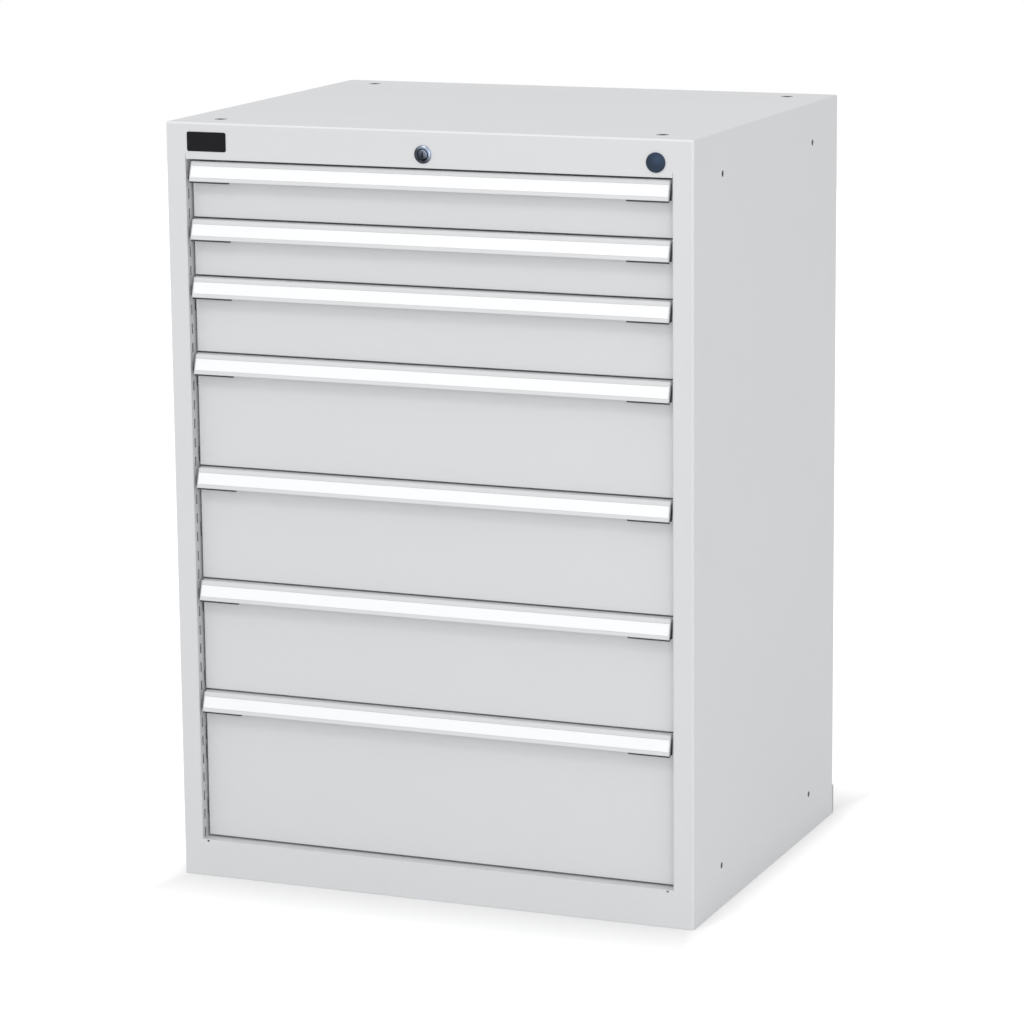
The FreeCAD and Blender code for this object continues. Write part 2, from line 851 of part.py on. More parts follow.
def lock_nut():
    body = new_body("lock_nut")
    section = new_sketch(body, "XZ_Plane", -s.carcass_sheet)
    hexagon(section, zero, zero, s.nut_across)
    ring(section, zero, zero, s.lock_shell_bore + s.lock_fit * 2)
    pad(body, section, s.nut_wall, back=True)
    place(body, "lock_nut", z=lock_height)


def lock_rod():
    # Rod from the barrel to the back, its crank disc carrying the pin that lifts the locking bar.
    body = new_body("lock_rod")
    face = bar_front - s.crank_gap
    round_stack(body, [
        (s.lock_shell_length, face - s.crank_sheet, s.rod_bore),
        (face - s.crank_sheet, face, s.crank_bore),
    ])
    pin = new_sketch(body, "XZ_Plane", -face)
    ring(pin, -pin_swing, -pin_swing, s.pin_bore)
    pad(body, pin, s.crank_gap + s.bar_sheet + s.pin_proud, back=True)
    place(body, "lock_rod", z=lock_height)


def locking_bar():
    # Flat bar behind the drawers, slotted for the crank pin, with a finger welded on for each tray.
    body = new_body("bar_strip")
    pin_height = lock_height - pin_swing
    half = s.bar_width / 2
    finger_top = s.catch_rise - s.catch_lip - s.finger_clear - bar_travel
    finger_low = finger_top - s.finger_tooth - s.finger_sheet
    plate = new_sketch(body, "XZ_Plane", -bar_front)
    oblong(plate, -half, half, row_floors[-1] + finger_low - s.bar_foot / 2, pin_height + s.bar_head)
    pad(body, plate, s.bar_sheet, back=True)
    slot = new_sketch(body, "XZ_Plane", -bar_front + 1)
    reach = s.pin_bore / 2 + s.pin_play
    oblong(slot, -s.crank_throw - reach, -pin_swing + reach, pin_height - reach, pin_height + reach)
    cut(body, slot, s.bar_sheet + 2)
    members = [body]
    tooth = tray_rear + s.finger_gap
    for floor in row_floors:
        finger = new_body("bar_finger")
        section = new_sketch(finger, "YZ_Plane")
        outline(section, [
            (bar_front, floor + finger_low),
            (bar_front, floor + finger_low + s.finger_sheet),
            (tooth + s.finger_sheet, floor + finger_low + s.finger_sheet),
            (tooth + s.finger_sheet, floor + finger_top),
            (tooth, floor + finger_top),
            (tooth, floor + finger_low),
        ])
        pad(finger, section, s.finger_width, middle=True)
        members.append(finger)
    place(group("locking_bar", members), "locking_bar")


def locking_bar_guides():
    # Two blocks on the back panel, each with a window that the bar slides through.
    members = []
    half = s.bar_width / 2 + s.guide_play
    for number in (1, 6):
        body = new_body("locking_bar_guide")
        middle = row_floors[number] + rows[number] - s.guide_drop
        block = new_sketch(body, "XY_Plane", middle - s.guide_height / 2)
        start = bar_front - s.guide_play
        end = bar_back + s.guide_play
        oblong(block, -half - s.guide_wall, half + s.guide_wall, start - s.guide_wall, back_inner)
        oblong(block, -half, half, start, end)
        pad(body, block, s.guide_height)
        members.append(body)
    place(group("locking_bar_guides", members), "locking_bar_guides")


# ---- fittings ----

def blanking_plug():
    # Domed cap on a square stem, closing the spare lock hole.
    body = new_body("blanking_plug")
    round_stack(body, [(-s.plug_rise, zero, s.plug_bore)])
    stem = new_sketch(body, "XZ_Plane")
    half = s.plug_stem_width / 2
    oblong(stem, -half, half, -half, half)
    pad(body, stem, s.plug_stem, back=True)
    bevel_rim(body, s.plug_rim_bevel, s.plug_bore, -s.plug_rise)
    across = opening_half - s.plug_edge_gap
    place(body, "blanking_plug", x=across, z=overall_height - s.plug_drop)


def badge_plate():
    body = new_body("badge_plate")
    right = s.badge_width
    face = new_sketch(body, "XZ_Plane")
    oblong(face, zero, right, -s.badge_height, zero)
    pad(body, face, s.badge_sheet)
    bend(body, s.badge_bend, [
        ("y", {"x": zero, "z": zero}),
        ("y", {"x": right, "z": zero}),
        ("y", {"x": zero, "z": -s.badge_height}),
        ("y", {"x": right, "z": -s.badge_height}),
    ])
    place(body, "badge_plate", x=s.badge_edge_gap - opening_half, z=overall_height - s.badge_drop)


def top_bushes():
    # Threaded bushes set flush in the top.
    members = []
    for across in (half_width - s.bush_side_inset, -(half_width - s.bush_side_inset)):
        for along in (s.bush_end_inset, s.carcass_depth - s.bush_end_inset):
            body = new_body("top_bush")
            sleeve = new_sketch(body, "XY_Plane", overall_height - s.bush_length)
            hexagon(sleeve, across, along, s.bush_across)
            pad(body, sleeve, s.bush_length)
            thread = new_sketch(body, "XY_Plane", overall_height + 1)
            ring(thread, across, along, s.bush_thread_bore)
            cut(body, thread, s.bush_length + 2)
            members.append(body)
    place(group("top_bushes", members), "top_bushes")


# ---- the whole cabinet ----

side_panel()
top_panel()
base_panel()
back_panel()
rear_plinth()
uprights("front_uprights", upright_starts[0])
uprights("rear_uprights", upright_starts[1])
cabinet_runners()
for index, (row, floor) in enumerate(zip(rows, row_floors), start=1):
    number = str(index)
    middle_runners(number, floor)
    drawer_tray(number, row, floor)
    drawer_front(number, row, floor)
    handle(number, row, floor)
    label_strip(number, row, floor)
    handle_end_caps(number, row, floor)
lock_housing()
lock_barrel()
lock_nut()
lock_rod()
locking_bar()
locking_bar_guides()
blanking_plug()
badge_plate()
top_bushes()

doc.recompute()
for item in doc.Objects:
    if "Invalid" in item.State or "Error" in item.State:
        raise RuntimeError(item.Label + ": " + str(item.State))
for item in nodes:
    if item.Shape.isNull() or not item.Shape.isValid():
        raise RuntimeError(item.Label + ": its shape is null or invalid")
for item in nodes:
    item.Shape.exportStep("parts/" + item.Label + ".step")
print(len(nodes), "sub-parts written")
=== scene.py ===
import bmesh
import bpy
import math
from mathutils import Matrix, Quaternion, Vector


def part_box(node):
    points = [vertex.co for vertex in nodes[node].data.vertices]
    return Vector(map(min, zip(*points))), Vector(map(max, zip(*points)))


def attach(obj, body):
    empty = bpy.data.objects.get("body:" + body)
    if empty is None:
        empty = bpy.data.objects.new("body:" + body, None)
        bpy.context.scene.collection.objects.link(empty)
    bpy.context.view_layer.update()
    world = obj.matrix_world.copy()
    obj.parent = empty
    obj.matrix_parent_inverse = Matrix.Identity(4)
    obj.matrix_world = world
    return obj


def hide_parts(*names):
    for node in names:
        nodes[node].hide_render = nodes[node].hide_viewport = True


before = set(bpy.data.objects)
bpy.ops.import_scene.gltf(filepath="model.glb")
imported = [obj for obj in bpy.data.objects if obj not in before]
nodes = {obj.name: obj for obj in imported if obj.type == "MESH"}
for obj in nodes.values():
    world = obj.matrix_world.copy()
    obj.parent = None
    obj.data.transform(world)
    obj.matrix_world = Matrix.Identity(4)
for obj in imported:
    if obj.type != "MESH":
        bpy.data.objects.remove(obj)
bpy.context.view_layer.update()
drawerNumbers = range(1, 8)
lockLow, lockHigh = [Vector(corner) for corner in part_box("lock_housing")]
lockCentre = (lockLow + lockHigh) / 2
print("frame loaded with", len(nodes), "nodes")


# shader trees written as sums

class Wire:
    # an output socket that can stand in a sum
    def __init__(self, tree, socket):
        self.tree = tree
        self.socket = socket

    def maths(self, operation, first, second):
        return self.tree.add("ShaderNodeMath", {"operation": operation}, {0: first, 1: second})

    def __add__(self, other):
        return self.maths("ADD", self, other)

    __radd__ = __add__

    def __sub__(self, other):
        return self.maths("SUBTRACT", self, other)

    def __rsub__(self, other):
        return self.maths("SUBTRACT", other, self)

    def __mul__(self, other):
        return self.maths("MULTIPLY", self, other)

    __rmul__ = __mul__


class Tree:
    # a node tree that is filled one node at a time
    def __init__(self, tree):
        self.tree = tree
        tree.nodes.clear()

    def add(self, kind, settings=None, values=None, output=0):
        made = self.tree.nodes.new(kind)
        for name, setting in (settings or {}).items():
            setattr(made, name, setting)
        for name, value in (values or {}).items():
            if isinstance(value, (Wire, list)):
                for wire in value if isinstance(value, list) else [value]:
                    self.tree.links.new(wire.socket, made.inputs[name])
            else:
                made.inputs[name].default_value = value
        return Wire(self, made.outputs[output] if len(made.outputs) else None)


def linear(red, green, blue):
    # a colour as the eye names it, 0 to 255, turned into the linear one that shaders want
    shades = []
    for level in (red / 255, green / 255, blue / 255):
        shades.append(level / 12.92 if level <= 0.04045 else ((level + 0.055) / 1.055) ** 2.4)
    return (*shades, 1.0)


def lighter(colour, share):
    return tuple(min(1.0, level * share) for level in colour[:3]) + (1.0,)


def noise(tree, place, scale, detail=2.0, roughness=0.5):
    values = {"Vector": place, "Scale": scale, "Detail": detail, "Roughness": roughness}
    return tree.add("ShaderNodeTexNoise", None, values)


def stretched(tree, place, scale, rotation=(0.0, 0.0, 0.0)):
    return tree.add("ShaderNodeMapping", None, {"Vector": place, "Rotation": rotation, "Scale": scale})


def blend(tree, share, first, second):
    return tree.add("ShaderNodeMix", {"data_type": "RGBA"}, {0: share, 6: first, 7: second}, 2)


def vectors(tree, operation, *values, output=0):
    return tree.add("ShaderNodeVectorMath", {"operation": operation}, dict(enumerate(values)), output)


def carryOver(tree, value, span, levels=(0.0, 1.0), curve="LINEAR"):
    # turns one span of values into another and holds it at both ends
    values = {0: value, 1: span[0], 2: span[1], 3: levels[0], 4: levels[1]}
    return tree.add("ShaderNodeMapRange", {"interpolation_type": curve}, values)


def largest(tree, place, axes):
    # the largest of a vector's parts
    split = tree.add("ShaderNodeSeparateXYZ", None, {0: place}).socket.node
    most, *others = [Wire(tree, split.outputs[axis]) for axis in axes]
    for other in others:
        most = tree.add("ShaderNodeMath", {"operation": "MAXIMUM"}, {0: most, 1: other})
    return most


def newFinish(name):
    material = bpy.data.materials.new(name)
    material.use_nodes = True
    return material, Tree(material.node_tree)


def closeFinish(tree, shader):
    tree.add("ShaderNodeOutputMaterial", None, {"Surface": shader})


paint = {
    "peelScale": 420,  # orange peel, about 2.4 mm from dimple to dimple
    "peelDepth": 0.00006,
    "peelStrength": 0.55,
    "grainScale": 1900,
    "driftScale": 2.6,
    "handledScale": 14.0,
    "driftShare": 0.55,
    "grainShare": 0.2,
    "handledShare": 0.2,
    "lightest": 1.03,
    "roughness": 0.42,
    "edgeRadius": 0.0012,
    "edgeWearAndHighlightFacing": (0.995, 0.85),  # how far the rounded edge turns from its flat before it counts as worn and gets its painted highlight
    "bend": (0.0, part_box("top_panel")[0][1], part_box("top_panel")[1][2]),
    "bendHighlightWidth": (0.0012, 0.0030),
    "bendHighlightTone": 1.2,
    "corner": (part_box("side_panel_right")[1][0], -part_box("side_panel_right")[0][1], 0.0),
    "cornerRise": (0.93, 0.985),  # the painted highlight on the upright bends grows stronger near the top
    "cornerHighlightShare": (0.28, 0.55),
    "gapMiddle": (0.0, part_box("top_panel")[0][1] + 0.031, 0.5025),
    "gapHalf": (0.3322, 0.030, 0.451),
    "gapBlur": 0.0015,
    "gapTone": 0.76,
    "seamMiddle": (0.3313, -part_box("top_panel")[0][1], 0.9562),  # where rail and stile meet over the opening
    "seamHalf": (0.0003, 0.0008, 0.0034),
    "seamBlur": 0.0004,
    "seamTone": 0.45,
}


def inBox(tree, place, middle, half, blur):
    # 1 inside an upright box and 0 outside it, with a soft border
    away = vectors(tree, "ABSOLUTE", vectors(tree, "SUBTRACT", place, middle))
    away = largest(tree, vectors(tree, "SUBTRACT", away, half), "XYZ")
    return carryOver(tree, away, (-blur, blur), (1.0, 0.0))


def alongBend(tree, place, bend, across):
    # 1 on a straight bend and 0 away from it; across has a 0 for the direction in which the bend runs
    away = vectors(tree, "MULTIPLY", vectors(tree, "SUBTRACT", place, bend), across)
    return carryOver(tree, vectors(tree, "LENGTH", away, output=1), paint["bendHighlightWidth"], (1.0, 0.0))


def powderCoat(name, colour, edgeWearAndHighlight=1.06, darker=0.965, loose=True):
    # stoved powder paint: fine orange peel and a slight drift of tone; loose parts are paler on their rounded
    # edges, partly worn and partly painted highlight, and panels welded edge to edge get a painted highlight
    # only along the front bends of top and sides, stronger near the top, so that no seam shows but the short
    # one over the opening;
    # the gaps beside the drawers are darkened with painted shade
    material, tree = newFinish(name)
    place = tree.add("ShaderNodeTexCoord", None, None, 3)
    peel = noise(tree, place, paint["peelScale"], 1.0)
    grain = noise(tree, place, paint["grainScale"], 2.0)
    drift = noise(tree, place, paint["driftScale"], 3.0)
    handled = noise(tree, place, paint["handledScale"], 4.0, 0.6)
    mottle = drift * paint["driftShare"] + grain * paint["grainShare"] + handled * paint["handledShare"]
    tone = blend(tree, mottle, lighter(colour, darker), lighter(colour, paint["lightest"]))
    gloss = handled * 0.09 + grain * 0.06 + (paint["roughness"] - 0.06)
    relief = {
        "Strength": paint["peelStrength"], "Distance": paint["peelDepth"], "Height": peel + grain * 0.25,
    }
    if loose:
        # rounded edges are painted paler: partly edge wear, partly a painted highlight
        rounded = tree.add("ShaderNodeBevel", {"samples": 4}, {"Radius": paint["edgeRadius"]})
        true = tree.add("ShaderNodeNewGeometry", None, None, 1)
        facing = vectors(tree, "DOT_PRODUCT", rounded, true, output=1)
        edge = carryOver(tree, facing, paint["edgeWearAndHighlightFacing"])
        tone = blend(tree, edge * (0.35 + handled * 0.6), tone, lighter(colour, edgeWearAndHighlight))
        gloss = gloss - edge * 0.08
        relief["Normal"] = rounded
    else:
        # painted highlight along the top front bend
        edge = alongBend(tree, place, paint["bend"], (0.0, 1.0, 1.0))
        tone = blend(tree, edge * (0.7 + handled * 0.3), tone, lighter(colour, paint["bendHighlightTone"]))
        # painted shade: the returns in the gaps beside the drawers are darkened
        gapShade = inBox(tree, place, paint["gapMiddle"], paint["gapHalf"], paint["gapBlur"])
        tone = blend(tree, gapShade * (0.8 + grain * 0.2), tone, lighter(colour, paint["gapTone"]))
        mirrored = vectors(tree, "ABSOLUTE", place)
        # painted highlight along the upright front bends, stronger near the top
        upright = alongBend(tree, mirrored, paint["corner"], (1.0, 1.0, 0.0))
        height = tree.add("ShaderNodeSeparateXYZ", None, {0: place}, 2)
        rubbed = carryOver(tree, height, paint["cornerRise"], paint["cornerHighlightShare"])
        tone = blend(tree, upright * rubbed, tone, lighter(colour, paint["bendHighlightTone"]))
        seam = inBox(tree, mirrored, paint["seamMiddle"], paint["seamHalf"], paint["seamBlur"])
        tone = blend(tree, seam, tone, lighter(colour, paint["seamTone"]))
    bump = tree.add("ShaderNodeBump", None, relief)
    closeFinish(tree, tree.add("ShaderNodeBsdfPrincipled", None, {
        "Base Color": tone, "Roughness": gloss, "IOR": 1.5, "Normal": bump,
    }))
    return material


zinc = {
    "spangleScale": 130.0,
    "rolling": (900.0, 12.0, 900.0),  # rolling marks run along Y
    "dullScale": 9.0,
    "tones": (0.86, 1.1),
    "metal": 0.85,
    "roughness": 0.3,
    "depth": 0.00003,
}


def zincSheet(name, colour):
    # galvanised steel: spangles of slightly different shine, with rolling marks along the sheet
    material, tree = newFinish(name)
    place = tree.add("ShaderNodeTexCoord", None, None, 3)
    spangle = tree.add("ShaderNodeTexVoronoi", None, {"Vector": place, "Scale": zinc["spangleScale"]}, 1)
    level = tree.add("ShaderNodeSeparateColor", None, {0: spangle})
    rolled = noise(tree, stretched(tree, place, zinc["rolling"]), 1.0, 3.0)
    dull = noise(tree, place, zinc["dullScale"], 4.0, 0.6)
    darkest, palest = zinc["tones"]
    tone = blend(tree, level * 0.5 + dull * 0.5, lighter(colour, darkest), lighter(colour, palest))
    gloss = zinc["roughness"] + level * 0.12 + dull * 0.14
    relief = {"Strength": 0.35, "Distance": zinc["depth"], "Height": rolled + level * 0.4}
    bump = tree.add("ShaderNodeBump", None, relief)
    closeFinish(tree, tree.add("ShaderNodeBsdfPrincipled", None, {
        "Base Color": tone, "Metallic": zinc["metal"], "Roughness": gloss, "Normal": bump,
    }))
    return material


plating = {
    "rubbed": (54.0, 0.0, 52.0),  # the side on which the plating gets its painted reflection, over the lock's own radius
    "dark": 0.3,
    "pale": 3.6,
    "lip": (0.0054, 0.0062),  # from the axis to where the dish begins and where the ring turns outwards
    "crest": (0.0076, 0.0088),
    "paintedReflection": (-0.3, 1.05),
    "ringScale": 520.0,
    "cloudScale": 160.0,
    "scratches": (2600.0, 2600.0, 90.0),
    "scratchTurn": (0.0, 0.6, 0.0),
    "roughness": 0.12,
    "depth": 0.00002,
}


def turnedMetal(name, colour, centre):
    # plated brass turned on a lathe: fine rings round its own axis, a few hairline scratches, and a dark
    # plating with a painted reflection that makes it pale on one side
    material, tree = newFinish(name)
    place = tree.add("ShaderNodeTexCoord", None, None, 3)
    about = vectors(tree, "SUBTRACT", place, centre)
    settings = {"wave_type": "RINGS", "rings_direction": "Y"}
    values = {"Vector": about, "Scale": plating["ringScale"], "Distortion": 1.5}
    rings = tree.add("ShaderNodeTexWave", settings, values, 1)
    cloud = noise(tree, place, plating["cloudScale"], 4.0, 0.6)
    scratch = noise(tree, stretched(tree, place, plating["scratches"], plating["scratchTurn"]), 1.0, 2.0)
    # painted reflection: the plating turns pale towards the upper right on the ring, as if it reflected a
    # bright light
    side = vectors(tree, "DOT_PRODUCT", about, plating["rubbed"], output=1)
    # the painted reflection falls on the other side in the dish inside the ring, and evenly on the barrel
    away = vectors(tree, "LENGTH", about, output=1)
    dish = carryOver(tree, away, plating["lip"], (0.0, -1.0))
    ring = carryOver(tree, away, plating["crest"], (0.0, 2.0))
    paintedReflection = side * (dish + ring) + cloud * 0.3 - 0.15
    rubbed = carryOver(tree, paintedReflection, plating["paintedReflection"], (0.0, 1.0), "SMOOTHSTEP")
    tone = blend(tree, rubbed, lighter(colour, plating["dark"]), lighter(colour, plating["pale"]))
    gloss = cloud * 0.12 + scratch * 0.08 + plating["roughness"]
    relief = {"Strength": 0.3, "Distance": plating["depth"], "Height": rings + scratch * 0.6}
    bump = tree.add("ShaderNodeBump", None, relief)
    closeFinish(tree, tree.add("ShaderNodeBsdfPrincipled", None, {
        "Base Color": tone, "Metallic": 1.0, "Roughness": gloss, "Normal": bump,
    }))
    return material


moulding = {
    "rubbedScale": 45.0,
    "tones": (0.88, 1.14),
    # the painted highlight on the plug's dome: its place, its reach and its share of colour
    "plugHighlight": ((0.3125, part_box("blanking_plug")[0][1], 0.9755), 0.013, 1.9),
}


def mouldedPlastic(name, colour, roughness=0.45, grain=1500.0, depth=0.00004, shine=0.5, highlightSpot=None):
    # moulded plastic with a spark-eroded grain, a little paler where it is rubbed and round a painted
    # highlight
    material, tree = newFinish(name)
    place = tree.add("ShaderNodeTexCoord", None, None, 3)
    fine = noise(tree, place, grain, 2.0)
    rubbed = noise(tree, place, moulding["rubbedScale"], 4.0, 0.65)
    darkest, palest = moulding["tones"]
    tone = blend(tree, rubbed * 0.8 + fine * 0.2, lighter(colour, darkest), lighter(colour, palest))
    if highlightSpot:
        spot, reach, share = highlightSpot
        # painted highlight: paler round a given spot
        away = vectors(tree, "DISTANCE", place, spot, output=1)
        near = carryOver(tree, away, (0.0, reach), (1.0, 0.0), "SMOOTHSTEP")
        tone = blend(tree, near * (0.85 + rubbed * 0.3), tone, lighter(colour, share))
    bump = tree.add("ShaderNodeBump", None, {"Strength": 0.5, "Distance": depth, "Height": fine})
    gloss = rubbed * 0.12 + fine * 0.06 + (roughness - 0.08)
    closeFinish(tree, tree.add("ShaderNodeBsdfPrincipled", None, {
        "Base Color": tone, "Roughness": gloss, "Specular IOR Level": shine, "Normal": bump,
    }))
    return material


card = {
    "fibreScale": 1400.0,
    "fibreGrain": (0.4, 1.0, 1.0),
    "cloudScale": 22.0,
    "rippleScale": 60.0,
    "rippleGrain": (0.3, 1.0, 1.0),
    "rippleDepth": 0.00006,
    "tones": (0.97, 1.02),
    "filmRoughness": 0.12,
}


def coveredCard(name, colour):
    # white card behind a clear film: paper fibre below, a smooth coat above
    material, tree = newFinish(name)
    place = tree.add("ShaderNodeTexCoord", None, None, 3)
    fibre = noise(tree, stretched(tree, place, card["fibreGrain"]), card["fibreScale"], 4.0)
    cloud = noise(tree, place, card["cloudScale"], 3.0)
    darkest, palest = card["tones"]
    tone = blend(tree, fibre * 0.5 + cloud * 0.5, lighter(colour, darkest), lighter(colour, palest))
    ripple = noise(tree, stretched(tree, place, card["rippleGrain"]), card["rippleScale"], 2.0)
    relief = {"Strength": 0.25, "Distance": card["rippleDepth"], "Height": ripple}
    bump = tree.add("ShaderNodeBump", None, relief)
    closeFinish(tree, tree.add("ShaderNodeBsdfPrincipled", None, {
        "Base Color": tone, "Roughness": 0.5 + fibre * 0.15, "Coat Weight": 0.75 + cloud * 0.2,
        "Coat Roughness": card["filmRoughness"], "Normal": bump,
    }))
    return material


finishes = {
    "carcass": powderCoat("carcassPowderCoat", linear(217, 218, 220), loose=False),
    "front": powderCoat("frontPowderCoat", linear(217, 218, 220)),
    "handle": powderCoat("handlePowderCoat", linear(219, 220, 222), edgeWearAndHighlight=1.08),
    "inside": powderCoat("insidePowderCoat", linear(206, 207, 209)),
    "zinc": zincSheet("zincSheet", linear(186, 190, 194)),
    "lock": turnedMetal("lockPlating", linear(101, 108, 120), lockCentre),
    "label": coveredCard("labelCard", linear(250, 251, 252)),
    "cap": mouldedPlastic(
        "capPlastic", linear(62, 64, 68), roughness=0.5, grain=1700.0, depth=0.00003, shine=0.25
    ),
    "guide": mouldedPlastic("guidePlastic", linear(52, 54, 58)),
    # painted shade: the top bushes get a dark steel that stands in for the shade in their holes
    "bush": zincSheet("bushSteelDarkForShade", linear(88, 90, 94)),
    "plug": mouldedPlastic(
        "plugPlastic", linear(38, 51, 68), roughness=0.4, depth=0.00003, shine=0.2, highlightSpot=moulding["plugHighlight"]
    ),
    "badge": mouldedPlastic(
        "badgePlastic", linear(24, 24, 27), roughness=0.38, grain=1900.0, depth=0.00003, shine=0.12
    ),
}

finishOf = {
    "side_panel_left": "carcass", "side_panel_right": "carcass", "top_panel": "carcass",
    "base_panel": "carcass", "back_panel": "carcass", "rear_plinth": "carcass", "front_uprights": "zinc",
    "rear_uprights": "zinc", "cabinet_runners": "zinc", "lock_housing": "lock", "lock_barrel": "lock",
    "lock_nut": "zinc", "lock_rod": "zinc", "locking_bar": "zinc", "locking_bar_guides": "guide",
    "blanking_plug": "plug", "badge_plate": "badge", "top_bushes": "bush", "drawer_tray": "inside",
    "drawer_front": "front", "handle": "handle", "label_strip": "label", "handle_end_caps": "handle",
    "middle_runners": "zinc",
}


def dressNode(name):
    kind = name if name in finishOf else name.rpartition("_")[0]
    for place in nodes[name].material_slots:
        place.material = finishes[finishOf[kind]]


for name in nodes:
    dressNode(name)
print("finishes given to the CAD nodes:", len(finishes))


# making of pieces

def finishPiece(name, mesh, finish, body, slot, *stands):
    # names a mesh, gives it its finish and body, and says which CAD nodes it stands for
    mesh.name = name
    mesh.materials.clear()
    mesh.materials.append(finishes[finish])
    piece = bpy.data.objects.new(name, mesh)
    bpy.context.scene.collection.objects.link(piece)
    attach(piece, body)
    if stands:
        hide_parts(*stands)
    return piece


def closeMesh(shape, smooth=0.6, weld=True):
    # welds a turned or lofted shape, turns its faces outwards and rounds the shading below an angle
    if weld:
        bmesh.ops.remove_doubles(shape, verts=shape.verts, dist=0.000001)
        bmesh.ops.recalc_face_normals(shape, faces=shape.faces)
    mesh = bpy.data.meshes.new("shape")
    shape.to_mesh(mesh)
    shape.free()
    mesh.shade_smooth()
    mesh.set_sharp_from_angle(angle=smooth)
    return mesh


def arc(middle, radius, start, stop, steps):
    # points of an arc as distances from the axis and along it
    turns = [math.radians(start + (stop - start) * step / steps) for step in range(steps + 1)]
    return [(middle[0] + radius * math.cos(turn), middle[1] + radius * math.sin(turn)) for turn in turns]


def turn(shape, profile, centre, sides):
    # spins a closed profile about an axis along Y; the second value counts forwards, towards the viewer
    ring = [shape.verts.new((centre.x + across, centre.y - forward, centre.z)) for across, forward in profile]
    edges = [shape.edges.new((ring[step - 1], ring[step])) for step in range(len(ring))]
    spun = {"cent": centre, "axis": (0, 1, 0), "angle": math.tau, "steps": sides, "use_merge": True}
    bmesh.ops.spin(shape, geom=ring + edges, **spun)


def prism(shape, outline, along, start, end):
    # a bar of one outline with its length along X or Y
    ends = []
    for reach in (start, end):
        spots = [(reach, one, two) if along == "X" else (one, reach, two) for one, two in outline]
        ends.append([shape.verts.new(spot) for spot in spots])
    faces = [shape.faces.new(ends[0]), shape.faces.new(ends[1])]
    for number in range(len(outline)):
        corners = (ends[0][number], ends[0][number - 1], ends[1][number - 1], ends[1][number])
        faces.append(shape.faces.new(corners))
    bmesh.ops.recalc_face_normals(shape, faces=faces)
    return faces


def bar(shape, low, high):
    # a rectangular bar between two corners
    outline = [(low[0], low[2]), (high[0], low[2]), (high[0], high[2]), (low[0], high[2])]
    return prism(shape, outline, "Y", low[1], high[1])


def softenEdges(shape, faces, along, radius):
    # rounds the edges of a bar that run along one direction, as a press brake leaves them
    edges = []
    for face in faces:
        for edge in face.edges:
            run = (edge.verts[1].co - edge.verts[0].co).normalized()
            if edge not in edges and abs(run.dot(Vector(along))) > 0.99:
                edges.append(edge)
    bmesh.ops.bevel(shape, geom=edges, offset=radius, segments=2, profile=0.5, affect="EDGES")


# lock: a half-round plated ring with a threaded shell behind the rail, and the barrel sunk in it

lock = {
    "rim": 0.0115,
    "crestTurn": 145,  # degrees of the rounding, from the rim over the crest
    "proud": 0.0025,
    "foot": 0.0003,  # the straight edge under the rounding
    "lip": 0.0060,
    "lipDrop": 0.0019,  # how far the dish falls from the ring's crest to the lip round the barrel
    "bore": 0.0065,
    "shell": 0.009,
    "threadPitch": 0.0015,
    "threadDepth": 0.0006,
    "sides": 72,
    "barrelSunk": 0.0022,  # barrel face behind the ring's crest
    "barrelEdge": 0.0005,
    "barrelPlay": 0.0001,
    "slotHalfWidth": 0.0009,
    "slotHalfHeight": 0.004,
    "slotDeep": 0.005,
    "slotSteps": 9,
}


def lockRing():
    front = Vector((lockCentre.x, lockLow.y + lock["proud"], lockCentre.z))
    deep = -(lockHigh.y - front.y)
    roundness = lock["proud"] - lock["foot"]
    crest = lock["rim"] - roundness
    profile = [(lock["rim"], 0.0)]
    profile += arc((crest, lock["foot"]), roundness, 0, lock["crestTurn"], 14)
    behind = lock["proud"] - lock["barrelSunk"] + lock["barrelPlay"]
    profile += [(lock["lip"], lock["proud"] - lock["lipDrop"]), (lock["lip"], behind)]
    profile += [(lock["bore"], behind), (lock["bore"], deep)]
    shell, pitch = lock["shell"], lock["threadPitch"]
    turns = int(-deep / pitch) - 2
    for number in range(turns):
        start = deep + pitch * number
        profile += [(shell, start), (shell - lock["threadDepth"], start + pitch / 2)]
    profile += [(shell, deep + pitch * turns), (shell, 0.0)]
    shape = bmesh.new()
    turn(shape, profile, front, lock["sides"])
    finishPiece("lockRing", closeMesh(shape), "lock", "carcass", "lock_metal", "lock_housing")


def lockBarrel():
    # loops from the floor of the key slot out over the face, round the edge and back to the far end
    low, high = [Vector(corner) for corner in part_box("lock_barrel")]
    bore = (high.x - low.x) / 2
    wide, tall = lock["slotHalfWidth"], lock["slotHalfHeight"]
    corner = math.atan2(tall, wide)
    steps = lock["slotSteps"]
    turns = []
    for side in (0, math.pi):
        turns += [side - corner + 2 * corner * step / steps for step in range(steps)]
        turns += [side + corner + (math.pi - 2 * corner) * step / steps for step in range(steps)]
    face = lockLow.y + lock["proud"] - lock["barrelSunk"]
    deep, edge = lock["slotDeep"], lock["barrelEdge"]
    shape = bmesh.new()
    loops = []
    outline = [(face + deep, 0), (face, 0), (face, bore - edge), (face + edge, bore), (high.y, bore)]
    for y, radius in outline:
        loop = []
        for angle in turns:
            across, up = math.cos(angle), math.sin(angle)
            reach = radius or min(wide / max(abs(across), 1e-6), tall / max(abs(up), 1e-6))
            loop.append(shape.verts.new((lockCentre.x + across * reach, y, lockCentre.z + up * reach)))
        loops.append(loop)
    for inner, outer in zip(loops, loops[1:]):
        for number in range(len(turns)):
            shape.faces.new((inner[number - 1], inner[number], outer[number], outer[number - 1]))
    shape.faces.new(loops[0])
    shape.faces.new(loops[-1])
    finishPiece("lockBarrel", closeMesh(shape, 0.5), "lock", "lock_core", "lock_metal", "lock_barrel")


# plug that closes the spare lock hole: a domed cap and four sprung legs

